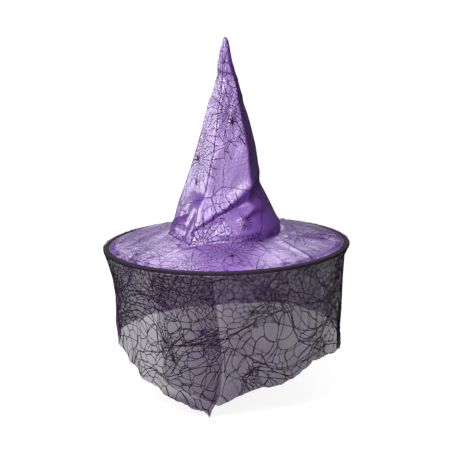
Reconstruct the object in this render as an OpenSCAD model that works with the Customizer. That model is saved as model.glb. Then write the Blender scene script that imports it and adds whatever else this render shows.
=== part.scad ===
// A costume witch hat: a pointed satin crown on a hooped satin brim that
// slopes gently down to its rim, with a strip of lace netting that hangs from
// the rim as a veil.
// The origin is the centre of the head opening, on the underside of the brim.
// +Z points up to the tip, and the wearer's face looks along -Y.
// Directions around the hat are bearings: 0 is the front, and negative ones
// run to the left of someone who stands in front of the hat (-X).

/* [Brim] */
// Diameter of the brim over its edge binding
brim_d = 410; // [330:5:500]
// How much higher the head opening stands than the rim
brim_rise = 25; // [0:1:40]
// Thickness of the satin on the crown and on the brim
satin_t = 0.6; // [0.4:0.1:1]
// Thickness of the stiff layer inside the brim
brim_core_t = 1.5; // [1:0.1:3]
// Thickness of the black lining under the brim
lining_t = 0.5; // [0.3:0.1:1]

/* [Crown] */
// Height of the crown above the top of the brim
crown_h = 330; // [260:5:400]
// How far the upright collar of the crown reaches above the sweatband
collar_over = 1; // [0.5:0.5:10]
// Diameter of the crown where its lower and upper slopes meet
waist_d = 112; // [80:1:140]
// Height above the brim at which the two slopes meet
waist_h = 116; // [80:2:160]
// Radius of the closed tip
tip_r = 4.5; // [4:0.5:8]
// Thickness of the stiff layer inside the crown
crown_core_t = 1.2; // [0.8:0.1:2]
// Width of each seam allowance that is pressed open inside the back seam
allowance_w = 8; // [4:1:12]

/* [Sweatband] */
// Inner diameter of the sweatband, which is the head opening
head_d = 175; // [140:1:215]
// Height of the sweatband
band_h = 15; // [10:1:30]
// Thickness of the sweatband
band_t = 0.8; // [0.6:0.1:2]

/* [Brim edge] */
// Diameter of the steel wire hoop that holds the rim round
hoop_d = 2; // [1.2:0.1:3]
// Wall of the sleeve that is crimped over the ends of the hoop
ferrule_t = 0.3; // [0.2:0.1:0.6]
// Length of that sleeve
ferrule_l = 22; // [12:1:40]
// Width of the edge binding, from its inner edge to the rim
binding_w = 9; // [7:0.5:16]
// Thickness of the folded binding tape
binding_t = 1.4; // [0.8:0.1:2]

/* [Veil] */
// Thickness of the hanging lace, with its folds
veil_t = 1; // [0.6:0.1:2]
// Height of the raw edge of the lace above the binding
heading_h = 2.5; // [1:0.5:6]
// How far the lace draws in just below the rim
neck_in = 8; // [4:0.5:12]
// Depth over which the lace draws in
neck_h = 16; // [10:1:30]
// Inner diameter of the veil at the level of its longest corner
hem_d = 376; // [280:2:400]
// Drop of the lace below the rim at the front corner
front_drop = 245; // [200:5:300]
// Drop of the lace at the left side
left_drop = 153; // [120:1:190]
// Drop of the lace at the right side
right_drop = 178; // [120:1:195]
// Drop of the lace at the back
back_drop = 143; // [120:1:190]
// Bearing of the free front edge of the lace
free_edge = -7; // [-15:1:0]
// How much higher the lace ends to the right of its free edge
corner_step = 20; // [10:1:30]
// Angle by which the inner end of the strip reaches under the outer end
underlap = 32; // [20:1:45]

/* [Sewing] */
// Thickness of the sewing thread
thread_t = 0.4; // [0.3:0.1:0.6]
// Length of one stitch
stitch_l = 6; // [4:0.5:8]
// Number of stitches around the brim edge
edge_stitches = 84; // [24:4:96]
// Number of stitches around the head opening
head_stitches = 36; // [12:4:44]
// Number of stitches up the back seam of the crown
seam_stitches = 30; // [8:2:34]

/* [Hidden] */
$fn = 96;

// Brim: three layers, counted up from the underside at the head opening,
// where z = 0. All of them slope down to the rim together.
core_top_z = lining_t + brim_core_t;
brim_top_z = core_top_z + satin_t;
rim_r = brim_d / 2;

// The hoop lies in a round channel just outside the layers, in the binding.
ferrule_d = hoop_d + 2 * ferrule_t;
channel_r = ferrule_d / 2;
hoop_ring_r = rim_r - binding_t - channel_r;
layers_r = hoop_ring_r - channel_r;
binding_in_r = rim_r - binding_w;
hoop_end_gap = 1;                     // space between the ends of the wire

// Head opening: the sweatband lines it and passes up inside the crown.
head_r = head_d / 2;
opening_r = head_r + band_t;
brim_slope = atan(brim_rise / (layers_r - opening_r));
rim_z = slope_z(hoop_ring_r) + brim_top_z / 2;

// Crown: its wall stands on the brim, around the opening.
crown_core_in_r = opening_r;
crown_core_out_r = crown_core_in_r + crown_core_t;
crown_out_r = crown_core_out_r + satin_t;
collar_h = band_h + collar_over - brim_top_z;
allowance_top_h = waist_h + 20;       // above it the cone is too narrow
foot_depth = 5;                       // cut off where the crown meets the brim
tip_steps = 6;                        // chords in the quarter round of the tip

// Veil, in heights from the hoop: its inner line, from the raw heading down
// to below the hem.
veil_top_h = channel_r + binding_t + heading_h;
neck_top_h = -channel_r - binding_t;
neck_low_h = neck_top_h - neck_h;
neck_r = rim_r - neck_in;
hem_r = hem_d / 2;
veil_floor_h = -front_drop - 5;       // the hem is cut above this level
lap_top_h = neck_top_h - 2;           // the inner end starts under the binding
lap_hem_rise = 35;                    // its free corner is this much higher
lap_bite = 0.2;                       // how deep the two layers press together

right_low_bearing = 54;               // where the right hem levels out
side_bearing = 70;                    // beyond it the hem goes over to the side drop
back_bearing = 25;                    // on the left, the back drop ends here
hem_steps = 6;                        // chords in the slanting left hem

// Height of the brim's underside at a radius.
function slope_z(r) = -brim_rise * (r - opening_r) / (layers_r - opening_r);

// Direction from the hat's axis at a bearing, as an angle from +X.
function turn(bearing) = 270 + bearing;

// Place across the hat of a point on the hem at a bearing.
function across(bearing) = hem_r * sin(bearing);

// Outer outline of a crown layer whose face is inset from the satin's face:
// up the collar, in to the waist, then up to a quarter round at the tip.
function crown_outline(inset) = concat(
    [[0, -foot_depth], [crown_out_r - inset, -foot_depth],
     [crown_out_r - inset, collar_h], [waist_d / 2 - inset, waist_h]],
    [for (i = [0 : tip_steps])
        let (a = 90 * i / tip_steps)
        [(tip_r - inset) * cos(a), crown_h - tip_r + (tip_r - inset) * sin(a)]]);

// Radius of the satin's face at a height above the top of the brim.
function face_r(h) =
    h < waist_h
    ? crown_out_r + (waist_d / 2 - crown_out_r)
        * max(0, h - collar_h) / (waist_h - collar_h)
    : waist_d / 2 + (tip_r - waist_d / 2)
        * (h - waist_h) / (crown_h - tip_r - waist_h);

// Lean of the satin's face from upright at a height, in degrees.
function face_lean(h) =
    h < collar_h ? 0
    : h < waist_h
    ? atan((crown_out_r - waist_d / 2) / (waist_h - collar_h))
    : atan((waist_d / 2 - tip_r) / (crown_h - tip_r - waist_h));

// Drop of the hem left of the free edge: it falls evenly from side to corner.
function left_hem(bearing) =
    left_drop + (front_drop - left_drop) * (bearing + 90) / (free_edge + 90);

// Section of the brim between two levels, from one radius to another. The
// levels are those at the head opening, and it slopes down from there.
module brim_section(inner_r, outer_r, low, high) {
    polygon([[inner_r, low + slope_z(inner_r)],
             [outer_r, low + slope_z(outer_r)],
             [outer_r, high + slope_z(outer_r)],
             [inner_r, high + slope_z(inner_r)]]);
}

// One cloth layer of the brim.
module brim_layer(low, high) {
    rotate_extrude() brim_section(opening_r, layers_r, low, high);
}

// A crown-shaped shell between two insets, standing on the brim.
module crown_shell(outer_inset, inner_inset) {
    difference() {
        translate([0, 0, brim_top_z])
            difference() {
                rotate_extrude() polygon(crown_outline(outer_inset));
                rotate_extrude() polygon(crown_outline(inner_inset));
                translate([0, 0, -foot_depth - 1])
                    cylinder(r = crown_out_r - inner_inset, h = 2);
            }
        rotate_extrude()
            brim_section(opening_r / 2, layers_r, -2 * foot_depth, brim_top_z);
    }
}

// Stitches evenly around the axis; the child is one stitch at +X.
module around(count) {
    for (i = [0 : count - 1])
        rotate([0, 0, 360 * i / count]) children();
}

// Printed satin of the crown: one fan-shaped panel closed at the back.
module crown_outer() {
    color("mediumpurple") crown_shell(0, satin_t);
}

// Stiff layer bonded inside the crown, with the seam allowances pressed open
// along the inside of the back.
module crown_interlining() {
    wall_inset = satin_t + crown_core_t;
    color("gainsboro") {
        crown_shell(satin_t, wall_inset);
        intersection() {
            crown_shell(wall_inset, wall_inset + satin_t);
            translate([-allowance_w, 0, brim_top_z + collar_h])
                cube([2 * allowance_w, crown_out_r,
                      allowance_top_h - collar_h]);
        }
    }
}

// Thread that closes the back seam of the crown.
module crown_seam_stitches() {
    seam_low = collar_h + stitch_l;
    pitch = (crown_h - tip_r - stitch_l - seam_low) / seam_stitches;
    color("indigo")
        for (i = [0 : seam_stitches - 1]) {
            h = seam_low + pitch * i;
            // A stitch that would bridge the bend at the waist is left out.
            if (abs(h - waist_h) > stitch_l)
                translate([0, face_r(h), brim_top_z + h])
                    rotate([face_lean(h), 0, 0])
                        translate([-thread_t / 2, 0, -stitch_l / 2])
                            cube([thread_t, thread_t, stitch_l]);
        }
}

// Thread that sews the foot of the crown down to the brim.
module crown_base_stitches() {
    color("indigo")
        around(head_stitches)
            translate([crown_out_r, -thread_t / 2,
                       brim_top_z + slope_z(crown_out_r)])
                rotate([0, brim_slope, 0])
                    cube([stitch_l / 3, thread_t, thread_t]);
}

// Printed satin on the top of the brim.
module brim_top() {
    color("mediumpurple") brim_layer(core_top_z, brim_top_z);
}

// Stiff layer in the middle of the brim.
module brim_interlining() {
    color("gainsboro") brim_layer(lining_t, core_top_z);
}

// Black lining on the underside of the brim.
module brim_lining() {
    color("dimgray") brim_layer(0, lining_t);
}

// Spring wire hoop; its ends meet at the back, inside the sleeve.
module brim_hoop() {
    gap_turn = hoop_end_gap / hoop_ring_r * 180 / PI;
    color("silver")
        translate([0, 0, rim_z])
            rotate([0, 0, 90 + gap_turn / 2])
                rotate_extrude(angle = 360 - gap_turn)
                    translate([hoop_ring_r, 0]) circle(d = hoop_d);
}

// Sleeve crimped over the two ends of the hoop.
module hoop_ferrule() {
    sleeve_turn = ferrule_l / hoop_ring_r * 180 / PI;
    color("gray")
        translate([0, 0, rim_z])
            rotate([0, 0, 90 - sleeve_turn / 2])
                rotate_extrude(angle = sleeve_turn)
                    translate([hoop_ring_r, 0])
                        difference() {
                            circle(d = ferrule_d);
                            circle(d = hoop_d);
                        }
}

// Black tape folded over the hoop and the edges of the three layers.
module edge_binding() {
    color("black")
        rotate_extrude()
            difference() {
                union() {
                    translate([hoop_ring_r, rim_z])
                        circle(r = channel_r + binding_t);
                    brim_section(binding_in_r, hoop_ring_r,
                                 -binding_t, brim_top_z + binding_t);
                }
                translate([hoop_ring_r, rim_z]) circle(r = channel_r);
                brim_section(binding_in_r - 1, hoop_ring_r, 0, brim_top_z);
            }
}

// Thread along the inner edge of the binding, on the top of the brim.
module binding_stitches() {
    thread_r = binding_in_r + 1;      // just outside the tape's inner edge
    color("black")
        around(edge_stitches)
            translate([thread_r, -stitch_l / 2,
                       brim_top_z + binding_t + slope_z(thread_r)])
                rotate([0, brim_slope, 0])
                    cube([thread_t, stitch_l, thread_t]);
}

// Band inside the head opening, which sits on the wearer's head.
module sweatband() {
    color("black")
        difference() {
            cylinder(r = opening_r, h = band_h);
            translate([0, 0, -1]) cylinder(r = head_r, h = band_h + 2);
        }
}

// Thread that whips the foot of the sweatband to the brim lining.
module sweatband_stitches() {
    color("black")
        around(head_stitches) {
            translate([opening_r - band_t / 2, -thread_t / 2, -thread_t])
                cube([band_t / 2, thread_t, thread_t]);
            translate([opening_r, -thread_t / 2, 0])
                rotate([0, brim_slope, 0])
                    translate([-thread_t / 2, 0, -thread_t])
                        cube([stitch_l / 2, thread_t, thread_t]);
        }
}

// Wall of the veil, uncut at the bottom. Its inner line is moved in by inset.
module veil_wall(inset, top_h) {
    top_r = top_h > neck_top_h
        ? rim_r : rim_r - neck_in * (neck_top_h - top_h) / neck_h;
    inner = concat(
        [[top_r - inset, top_h]],
        top_h > neck_top_h ? [[rim_r - inset, neck_top_h]] : [],
        [[neck_r - inset, neck_low_h], [hem_r - inset, veil_floor_h]]);
    outer = [for (i = [len(inner) - 1 : -1 : 0]) inner[i] + [veil_t, 0]];
    polygon(concat(inner, outer));
}

// Everything below an outline across the hat, on the front or back half.
module below(outline, back) {
    side = rim_r + 2 * veil_t;
    low = veil_floor_h - 1;
    translate([0, back ? side : 0, 0])
        rotate([90, 0, 0])
            linear_extrude(side)
                polygon(concat([[-side, low], [-side, outline[0][1]]], outline,
                               [[side, outline[len(outline) - 1][1]],
                                [side, low]]));
}

// Strip of spider-web lace, sewn on at the rim with its ends overlapped at
// the front left. It hangs long in front and short behind.
module lace_veil() {
    front_left = [for (i = [0 : hem_steps])
        let (b = -90 + (free_edge + 90) * i / hem_steps)
        [across(b), -left_hem(b)]];
    front_right = [[across(free_edge), corner_step - front_drop],
                   [across(right_low_bearing), -right_drop],
                   [across(90), -right_drop]];
    back = [[across(-90), -left_drop], [across(-side_bearing), -left_drop],
            [across(-back_bearing), -back_drop], [across(side_bearing), -back_drop],
            [across(90), -right_drop]];
    lap_hem = [[across(free_edge - underlap), lap_hem_rise - front_drop
                + corner_step],
               [across(free_edge), corner_step - front_drop]];
    color("darkslateblue") translate([0, 0, rim_z]) {
        difference() {
            rotate_extrude() veil_wall(0, veil_top_h);
            below(concat(front_left, front_right), false);
            below(back, true);
        }
        difference() {
            rotate([0, 0, turn(free_edge - underlap)])
                rotate_extrude(angle = underlap)
                    veil_wall(veil_t - lap_bite, lap_top_h);
            below(lap_hem, false);
        }
    }
}

// Thread that sews the heading of the lace to the binding.
module veil_stitches() {
    color("black")
        around(edge_stitches)
            translate([rim_r + veil_t, -stitch_l / 2, rim_z])
                cube([thread_t, stitch_l, thread_t]);
}

crown_outer();
crown_interlining();
crown_seam_stitches();
crown_base_stitches();
brim_top();
brim_interlining();
brim_lining();
brim_hoop();
hoop_ferrule();
edge_binding();
binding_stitches();
sweatband();
sweatband_stitches();
lace_veil();
veil_stitches();
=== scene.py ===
"""Looks of the costume witch hat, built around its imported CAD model.

The camera, lights and materials are in metres, and the shapes are worked out in
mm. Directions around the hat are bearings in degrees: 0 is the front (-Y), and
negative ones run to the left of someone in front (-X).
"""
import math

import bpy
import numpy as np
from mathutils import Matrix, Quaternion, Vector
from mathutils.geometry import delaunay_2d_cdt


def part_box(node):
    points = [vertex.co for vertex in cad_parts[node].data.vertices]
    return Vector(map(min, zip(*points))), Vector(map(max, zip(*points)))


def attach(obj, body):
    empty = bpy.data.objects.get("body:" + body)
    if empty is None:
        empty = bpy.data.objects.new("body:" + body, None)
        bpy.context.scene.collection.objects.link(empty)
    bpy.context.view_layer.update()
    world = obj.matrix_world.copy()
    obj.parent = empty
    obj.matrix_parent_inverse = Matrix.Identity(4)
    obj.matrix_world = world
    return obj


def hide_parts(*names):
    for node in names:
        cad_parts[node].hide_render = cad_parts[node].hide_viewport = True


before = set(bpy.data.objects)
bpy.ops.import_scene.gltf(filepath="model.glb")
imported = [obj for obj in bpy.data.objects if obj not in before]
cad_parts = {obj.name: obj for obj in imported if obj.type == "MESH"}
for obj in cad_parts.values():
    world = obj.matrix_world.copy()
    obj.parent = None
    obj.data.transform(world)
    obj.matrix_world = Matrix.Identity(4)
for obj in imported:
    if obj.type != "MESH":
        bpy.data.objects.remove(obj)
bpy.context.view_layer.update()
MM = 0.001


# ---- camera and light

def make_camera():
    """A long lens, 13 degrees above level, rolled by a degree and a half and
    aimed just above the rim."""
    distance, above_rim = 12, 0.0345
    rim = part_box("brim_hoop")
    target = Vector((0.0003, 0, (rim[0].z + rim[1].z) / 2 + above_rim))
    data = bpy.data.cameras.new("camera")
    data.sensor_width = 36
    data.lens = 573
    camera = bpy.data.objects.new("camera", data)
    bpy.context.scene.collection.objects.link(camera)
    lift = math.radians(13)
    away = Vector((0, -math.cos(lift), math.sin(lift)))
    camera.location = target + distance * away
    look = (-away).to_track_quat("-Z", "Y")
    camera.rotation_mode = "QUATERNION"
    camera.rotation_quaternion = look @ Quaternion((0, 0, 1), math.radians(-1.6))
    bpy.context.scene.camera = camera
    bpy.context.scene.view_settings.view_transform = "Standard"


# Lobes of the soft sky: the direction of each one's middle, the cosines at its
# outer edge and where it is full, and its strength.
SKY = (((-0.93, 0.36, 0.05), 0.955, 0.985, 10.5),
       ((-0.15, -0.30, 0.94), 0.60, 1.0, 1.2),
       ((-0.04, 0.88, 0.47), 0.97, 0.995, 1.6),
       ((-0.03, 0.77, 0.64), 0.97, 0.995, 10.0),
       ((0.05, -0.94, 0.32), 0.80, 1.0, 2.9))
SKY_LEAST = 0.06


def make_light(kind, name, place, target, power):
    """A lamp at a place, aimed at a target."""
    data = bpy.data.lights.new(name, kind)
    data.energy = power
    light = bpy.data.objects.new(name, data)
    bpy.context.scene.collection.objects.link(light)
    light.location = place
    light.rotation_euler = (Vector(target) - Vector(place)).to_track_quat(
        "-Z", "Y").to_euler()
    return light


def make_lights():
    """A square softbox in front, and a soft pool of light on the brim's front."""
    key = make_light("AREA", "key", (-0.9, -2.2, 1.5), (0, 0, 0), 50)
    key.data.size = 0.9
    pool = make_light("SPOT", "brim_light", (0.05, -0.36, 2.2), (0.0, -0.165, -0.01), 280)
    pool.data.spot_size = math.radians(6.6)
    pool.data.spot_blend = 1.0
    pool.data.shadow_soft_size = 0.05
    pool.data.color = (1.05, 2.0, 0.7)
    pool.visible_glossy = False


def make_world():
    """White behind the hat for the camera, and a soft sky in lobes for light."""
    world = bpy.data.worlds.new("studio")
    sh = Shader(world)
    way = sh.add("TexCoord")["Generated"]
    lobes = [sh.fade(sh.vector("DOT_PRODUCT", way, middle), low, high, 0.0, bright)
             for middle, low, high, bright in SKY]
    total = lobes[0]
    for more in lobes[1:] + [SKY_LEAST]:
        total = sh.calc("ADD", total, more)
    sky = sh.add("Background", {}, {"Strength": total})[0]
    paper = sh.add("Background", {}, {"Color": (1, 1, 1)})[0]
    seen = sh.add("LightPath")["Is Camera Ray"]
    sh.finish("World", sh.add("MixShader", {}, {0: seen, 1: sky, 2: paper})[0])
    bpy.context.scene.world = world


# ---- material helpers

class Shader:
    """Short names for building the nodes of one material, or of the world."""

    def __init__(self, owner):
        self.owner = owner
        owner.use_nodes = True
        self.tree = owner.node_tree
        self.tree.nodes.clear()

    def put(self, socket, value):
        if isinstance(value, bpy.types.NodeSocket):
            self.tree.links.new(value, socket)
        elif hasattr(socket.default_value, "__len__") and len(value) == 3 \
                and len(socket.default_value) == 4:
            socket.default_value = (*value, 1)
        else:
            socket.default_value = value

    def add(self, kind, settings=None, inputs=None):
        made = self.tree.nodes.new("ShaderNode" + kind)
        for name, value in (settings or {}).items():
            setattr(made, name, value)
        for name, value in (inputs or {}).items():
            self.put(made.inputs[name], value)
        return made.outputs

    def calc(self, operation, *values):
        return self.add("Math", {"operation": operation}, dict(enumerate(values)))[0]

    def times(self, total, *others):
        for other in others:
            total = self.calc("MULTIPLY", total, other)
        return total

    def most(self, total, *others):
        for other in others:
            total = self.calc("MAXIMUM", total, other)
        return total

    def vector(self, operation, *values):
        out = self.add("VectorMath", {"operation": operation}, dict(enumerate(values)))
        return out["Value" if operation in ("LENGTH", "DOT_PRODUCT") else "Vector"]

    def parts(self, value):
        return self.add("SeparateXYZ", {}, {0: value})

    def fade(self, value, low, high, start=0.0, end=1.0):
        """Goes smoothly from start to end as value goes from low to high."""
        return self.add("MapRange", {"interpolation_type": "SMOOTHSTEP"},
                        {"Value": value, "From Min": low, "From Max": high,
                         "To Min": start, "To Max": end})["Result"]

    def line(self, distance, width):
        """1 on a line, fading to 0 at its edge."""
        return self.fade(distance, width * 0.35, width * 0.65, 1.0, 0.0)

    def mix(self, factor, first, second):
        return self.add("MixRGB", {}, {"Fac": factor, "Color1": first,
                                       "Color2": second})["Color"]

    def shades(self, factor, tone, low, high):
        """A tone that varies between low and high times itself."""
        return self.mix(factor, [c * low for c in tone], [c * high for c in tone])

    def noise(self, where, size, detail=2.0, rough=0.5):
        return self.add("TexNoise", {}, {"Vector": where, "Scale": 1 / size,
                                         "Detail": detail,
                                         "Roughness": rough})["Fac"]

    def cells(self, where, size, uneven=1.0, feature="F1"):
        """Flat Voronoi cells of about one size."""
        return self.add("TexVoronoi", {"voronoi_dimensions": "2D", "feature": feature},
                        {"Vector": where, "Scale": 1 / size, "Randomness": uneven})

    def to_cell_edge(self, where, size, uneven):
        return self.times(self.cells(where, size, uneven, "DISTANCE_TO_EDGE")[0], size)

    def bump(self, height, distance, below=None):
        inputs = {"Height": height, "Distance": distance, "Strength": 1.0}
        if below is not None:
            inputs["Normal"] = below
        return self.add("Bump", {}, inputs)["Normal"]

    def cloth_place(self):
        """Place on the flat cloth, in metres."""
        return self.add("UVMap", {"uv_map": "cloth"})["UV"]

    def object_place(self):
        return self.add("TexCoord")["Object"]

    def surface(self, **inputs):
        """The finished material, from the inputs of its Principled shader."""
        named = {name.replace("_", " "): value for name, value in inputs.items()}
        self.finish("Material", self.add("BsdfPrincipled", {}, named)[0])
        return self.owner

    def finish(self, kind, shader):
        out = self.tree.nodes.new("ShaderNodeOutput" + kind)
        self.tree.links.new(shader, out.inputs["Surface"])


# ---- materials

def new_shader(name):
    return Shader(bpy.data.materials.new(name))


def spokes(sh, away, count):
    """For lines that run out from a middle: the radius, the share of the way
    from one line to the next, and the distance to the nearest line."""
    radius = sh.vector("LENGTH", away)
    part = sh.parts(away)
    turn = sh.calc("ARCTAN2", part[1], part[0])
    share = sh.calc("FRACT", sh.times(turn, count / math.tau))
    nearest = sh.calc("MINIMUM", share, sh.calc("SUBTRACT", 1.0, share))
    return radius, share, sh.times(nearest, sh.times(radius, math.tau / count))


def web_ink(sh, place):
    """Printed spider webs, the net of threads between them and a few spiders."""
    web_gap, web_r, ring_pitch, ray_count = 0.086, 0.042, 0.0072, 17
    mesh_gap, spider_gap = 0.022, 0.105
    waver = sh.add("TexNoise", {}, {"Vector": place, "Scale": 70.0, "Detail": 1.0})
    waver = sh.vector("SUBTRACT", waver["Color"], (0.5, 0.5, 0.5))
    place = sh.vector("ADD", place, sh.vector("MULTIPLY", waver, (0.006, 0.006, 0)))
    # Webs: sagging rings, torn away in places, and rays open at the middle.
    middle = sh.cells(place, web_gap, 0.8)["Position"]
    radius, share, to_ray = spokes(sh, sh.vector("SUBTRACT", place, middle), ray_count)
    sag = sh.times(sh.calc("SINE", sh.times(share, math.pi)), 0.18)
    ring_radius = sh.calc("DIVIDE", radius, sh.calc("SUBTRACT", 1.0, sag))
    turn = sh.calc("FRACT", sh.calc("DIVIDE", ring_radius, ring_pitch))
    to_ring = sh.times(sh.calc("ABSOLUTE", sh.calc("SUBTRACT", turn, 0.5)), ring_pitch)
    inside = sh.fade(ring_radius, web_r, web_r + 0.001, 1.0, 0.0)
    torn = sh.cells(sh.vector("ADD", place, (0.31, 0.17, 0)), 0.055)["Color"]
    kept = sh.fade(sh.parts(torn)[0], 0.28, 0.30)
    rings = sh.times(sh.line(to_ring, 0.0011), inside, kept)
    to_ray = sh.calc("ADD", to_ray, sh.fade(radius, 0.003, 0.006, 0.001, 0.0))
    rays = sh.times(sh.line(to_ray, 0.0012), sh.most(
        sh.fade(radius, 0.012, 0.014, 1.0, 0.0),
        sh.times(kept, sh.fade(radius, 0.052, 0.054, 1.0, 0.0))))
    # Threads between the webs, and patches of net outside them.
    between = sh.line(sh.to_cell_edge(place, web_gap, 0.8), 0.0009)
    patch = sh.fade(sh.noise(place, 0.09, 1.0), 0.46, 0.50)
    mesh = sh.line(sh.to_cell_edge(place, mesh_gap, 1.0), 0.0010)
    net = sh.times(mesh, patch, sh.calc("SUBTRACT", 1.0, inside))
    # Spiders: a round body on eight straight legs.
    middle = sh.cells(place, spider_gap, 0.9)["Position"]
    radius, _, to_leg = spokes(sh, sh.vector("SUBTRACT", place, middle), 8)
    legs = sh.times(sh.line(to_leg, 0.0016), sh.fade(radius, 0.0065, 0.008, 1.0, 0.0))
    body = sh.fade(radius, 0.0022, 0.003, 1.0, 0.0)
    return sh.most(rings, rays, between, net, legs, body)


def satin(name, tone, crinkle, stretch):
    """Shiny satin with a dark printed pattern of webs. Its crinkles are crinkle
    metres deep, and finer along an axis the more stretch gives that axis."""
    sh = new_shader(name)
    place = sh.cloth_place()
    ink = web_ink(sh, place)
    # Painted sheen: soft patches where the purple is lighter or darker, as the satin's
    # gloss comes and goes across it.
    base = sh.shades(sh.noise(place, 0.05, 4.0, 0.6), tone, 0.75, 1.25)
    weave = sh.add("TexWave", {"bands_direction": "DIAGONAL"},
                   {"Vector": place, "Scale": 1 / 0.0045, "Distortion": 0.0})["Fac"]
    folds = sh.noise(sh.vector("MULTIPLY", place, stretch), 0.016, 5.0, 0.62)
    normal = sh.bump(folds, crinkle)
    normal = sh.bump(sh.noise(place, 0.0035, 3.0, 0.6), 0.0006, normal)
    normal = sh.bump(weave, 0.00002, normal)
    # Ink is a dark metal here: that takes the satin's pale gloss off it.
    return sh.surface(Base_Color=sh.mix(ink, base, (0.030, 0.012, 0.055)),
                      Roughness=sh.fade(ink, 0.0, 1.0, 0.31, 0.6), Metallic=ink,
                      IOR=1.7, Specular_IOR_Level=1.0,
                      Specular_Tint=(0.95, 0.86, 1.0), Sheen_Weight=0.03,
                      Sheen_Roughness=0.35, Sheen_Tint=(0.95, 0.88, 1.0),
                      Normal=normal)


def tape(name, tone, rib, ribs_follow):
    """Black ribbed tape, a rib every rib metres "around" the hat or "up" it."""
    sh = new_shader(name)
    place = sh.object_place()
    part = sh.parts(place)
    if ribs_follow == "around":
        rim_r = 0.2
        step = sh.times(sh.calc("ARCTAN2", part[1], part[0]), rim_r / rib * math.tau)
    else:
        radius = sh.vector("LENGTH", sh.vector("MULTIPLY", place, (1, 1, 0)))
        step = sh.times(sh.calc("ADD", part[2], radius), math.tau / rib)
    normal = sh.bump(sh.calc("SINE", step), 0.00012)
    normal = sh.bump(sh.noise(place, 0.004, 3.0), 0.0004, normal)
    color = sh.shades(sh.noise(place, 0.03, 3.0), tone, 0.7, 1.4)
    return sh.surface(Base_Color=color, Roughness=0.8, Specular_IOR_Level=0.3,
                      Normal=normal)


def plain_weave(name, tone, pitch):
    """Matt cloth with a plain weave."""
    sh = new_shader(name)
    place = sh.object_place()
    # The wave texture repeats every 0.314 / Scale, here every second thread.
    across, down = [sh.add("TexWave", {"bands_direction": way},
                           {"Vector": place, "Scale": 1 / (6.4 * pitch)})["Fac"]
                    for way in "XY"]
    normal = sh.bump(sh.times(across, down), 0.00008)
    normal = sh.bump(sh.noise(place, 0.03, 3.0), 0.0012, normal)
    color = sh.shades(sh.noise(place, 0.05, 4.0), tone, 0.8, 1.2)
    return sh.surface(Base_Color=color, Roughness=0.85, Sheen_Weight=0.1,
                      Normal=normal)


def felted(name, tone):
    """Pale non-woven stiffener with pressed fibres."""
    sh = new_shader(name)
    place = sh.object_place()
    fibres = sh.noise(sh.vector("MULTIPLY", place, (1, 1, 0.35)), 0.0015, 4.0, 0.7)
    color = sh.shades(sh.noise(place, 0.02, 3.0), tone, 0.88, 1)
    return sh.surface(Base_Color=color, Roughness=0.9,
                      Normal=sh.bump(fibres, 0.0003))


def metal(name, tone, rough):
    """Drawn steel with fine marks and a little tarnish."""
    sh = new_shader(name)
    place = sh.object_place()
    marks = sh.noise(place, 0.002, 3.0)
    color = sh.shades(sh.noise(place, 0.02, 3.0), tone, 0.6, 1)
    return sh.surface(Base_Color=color, Metallic=1.0,
                      Roughness=sh.fade(marks, 0.3, 0.7, rough * 0.8, rough * 1.3),
                      Normal=sh.bump(marks, 0.00004))


def thread(name, tone, sheen):
    """Twisted thread."""
    sh = new_shader(name)
    twist = sh.noise(sh.object_place(), 0.0006, 2.0)
    return sh.surface(Base_Color=sh.shades(twist, tone, 0.7, 1.3), Roughness=0.75,
                      Specular_IOR_Level=0.12, Sheen_Weight=sheen,
                      Normal=sh.bump(twist, 0.0001))


def net(name):
    """Fine black net: see-through by its density, with a diagonal mesh."""
    sh = new_shader(name)
    place = sh.cloth_place()
    part = sh.parts(place)
    pitch = 0.0032
    strands = []
    for side in (1, -1):
        way = sh.calc("ADD", part[0], sh.times(part[1], side * 0.75))
        strands.append(sh.calc("SINE", sh.times(way, math.tau / pitch)))
    mesh = sh.times(sh.calc("ADD", *strands), 0.5, 0.09)
    cloudy = sh.times(sh.calc("SUBTRACT", sh.noise(place, 0.05, 3.0), 0.5), 0.12)
    density = sh.add("Attribute", {"attribute_name": "net_share"})["Fac"]
    alpha = sh.calc("ADD", density, sh.calc("ADD", mesh, cloudy))
    color = sh.mix(sh.noise(place, 0.04, 3.0), (0.044, 0.018, 0.074),
                   (0.060, 0.026, 0.100))
    return sh.surface(Base_Color=color, Roughness=0.75, Specular_IOR_Level=0.1,
                      Alpha=sh.calc("MINIMUM", alpha, 0.97))


# ---- mesh helpers

def make_mesh(name, points, faces, material, corners=None, density=None):
    """One object from its points (in mm) and faces, with its place on the flat
    cloth (in metres) for each corner of each face."""
    mesh = bpy.data.meshes.new(name)
    mesh.from_pydata((np.asarray(points) * MM).tolist(), [],
                     [list(face) for face in faces])
    mesh.polygons.foreach_set("use_smooth", [True] * len(mesh.polygons))
    if corners is not None:
        layer = mesh.uv_layers.new(name="cloth")
        layer.data.foreach_set("uv", np.asarray(corners, np.float32).ravel())
    if density is not None:
        layer = mesh.attributes.new("net_share", "FLOAT", "POINT")
        layer.data.foreach_set("value", np.asarray(density, np.float32).ravel())
    mesh.update()
    obj = bpy.data.objects.new(name, mesh)
    bpy.context.scene.collection.objects.link(obj)
    obj.data.materials.append(material)
    return obj


def grid_faces(rows, cols, wrap_rows, wrap_cols):
    """Quads of a grid, and the (row, column) of each of their corners."""
    r = np.arange(rows if wrap_rows else rows - 1)
    c = np.arange(cols if wrap_cols else cols - 1)
    r, c = [a.ravel() for a in np.meshgrid(r, c, indexing="ij")]
    steps = ((0, 0), (0, 1), (1, 1), (1, 0))
    rr = np.stack([r + dr for dr, dc in steps], 1)
    cc = np.stack([c + dc for dr, dc in steps], 1)
    return (rr % rows) * cols + cc % cols, rr, cc


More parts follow.
